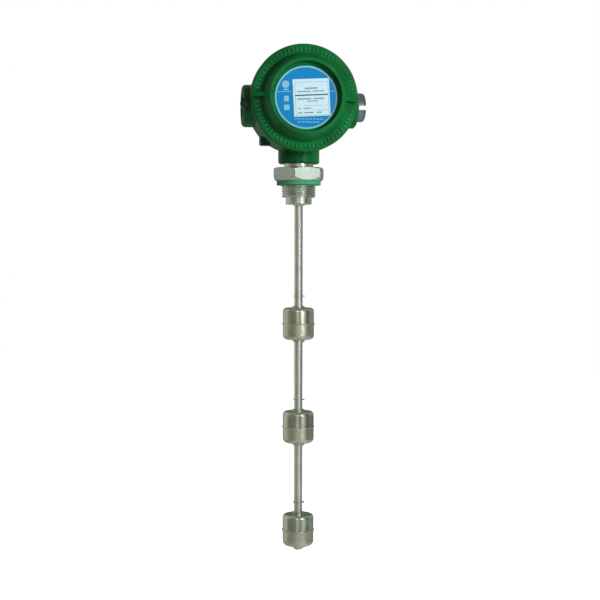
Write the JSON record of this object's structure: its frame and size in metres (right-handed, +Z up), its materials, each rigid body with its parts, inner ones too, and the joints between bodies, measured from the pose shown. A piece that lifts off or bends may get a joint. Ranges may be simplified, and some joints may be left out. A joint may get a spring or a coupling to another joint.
{
  "type": "magnetic float level switch",
  "caption": "Magnetic float level switch: round cast head with screw cover on a threaded plug, and floats sliding between clips on a hanging stem.",
  "frame": {"origin": "centre of the process thread at the sealing plane under the gasket", "axes": "+Z up along the stem towards the head, -Y out of the screw cover, -X out of the cable entry"},
  "size_m": [0.1216, 0.0936, 0.4818],
  "materials": {
    "green_enamel": "semi-gloss stoved enamel on a die casting",
    "turned_stainless": "turned stainless steel",
    "pressed_stainless": "drawn stainless shell, faintly yellow",
    "ferrite": "sintered, matt",
    "green_gasket": "matt compressed fibre gasket",
    "black_rubber": "matt",
    "blue_foil": "printed foil, satin",
    "plate_foil": "satin plate",
    "reed_glass": "clear glass capsule",
    "board_laminate": "glass laminate",
    "terminal_moulding": "moulded, matt",
    "zinc_plate": "zinc plated sheet",
    "earth_brass": "plated brass",
    "wire_jacket": "extruded jacket",
    "black_oxide": "blackened steel socket screw"
  },
  "bodies": {
    "head": {"housing_body": "green_enamel", "hex_plug": "turned_stainless", "stem_tube": "turned_stainless", "stem_end_plug": "turned_stainless", "conduit_plug": "turned_stainless", "stop_clip_lower_1": "turned_stainless", "stop_clip_upper_1": "turned_stainless", "stop_clip_lower_2": "turned_stainless", "stop_clip_upper_2": "turned_stainless", "stop_clip_lower_3": "turned_stainless", "stop_clip_upper_3": "turned_stainless", "process_gasket": "green_gasket", "plug_seal": "black_rubber", "reed_switch_1": "reed_glass", "reed_switch_2": "reed_glass", "reed_switch_3": "reed_glass", "reed_board": "board_laminate", "terminal_block": "terminal_moulding", "terminal_plate": "zinc_plate", "plate_screws": "zinc_plate", "earth_washer": "earth_brass", "earth_screw": "earth_brass", "inner_earth_screw": "earth_brass", "terminal_screws": "earth_brass", "lead_wires": "wire_jacket", "cover_lock_screw": "black_oxide"},
    "seal_ring": {"cover_o_ring": "black_rubber"},
    "cover": {"housing_cover": "green_enamel", "label_disc": "blue_foil", "data_plate": "plate_foil"},
    "float_1": {"float_1_upper_shell": "pressed_stainless", "float_1_lower_shell": "pressed_stainless", "float_1_bore_tube": "pressed_stainless", "float_1_magnet": "ferrite"},
    "float_2": {"float_2_upper_shell": "pressed_stainless", "float_2_lower_shell": "pressed_stainless", "float_2_bore_tube": "pressed_stainless", "float_2_magnet": "ferrite"},
    "float_3": {"float_3_upper_shell": "pressed_stainless", "float_3_lower_shell": "pressed_stainless", "float_3_bore_tube": "pressed_stainless", "float_3_magnet": "ferrite"}
  },
  "joints": [
    {"name": "cover_advance", "type": "slide", "parent": "head", "child": "seal_ring", "axis": [0, -1, 0], "range_m": [0, 0.0121]},
    {"name": "cover_turn", "type": "hinge", "parent": "seal_ring", "child": "cover", "pos_m": [0, 0, 0.0793], "axis": [0, -1, 0], "range_deg": [0, 2160]},
    {"name": "float_1_slide", "type": "slide", "parent": "head", "child": "float_1", "axis": [0, 0, 1], "range_m": [0, 0.009]},
    {"name": "float_2_slide", "type": "slide", "parent": "head", "child": "float_2", "axis": [0, 0, 1], "range_m": [0, 0.009]},
    {"name": "float_3_slide", "type": "slide", "parent": "head", "child": "float_3", "axis": [0, 0, 1], "range_m": [0, 0.009]}
  ],
  "couplings": [
    {"joint": "cover_advance", "follows": "cover_turn", "m_per_rad": 0.00031831}
  ]
}
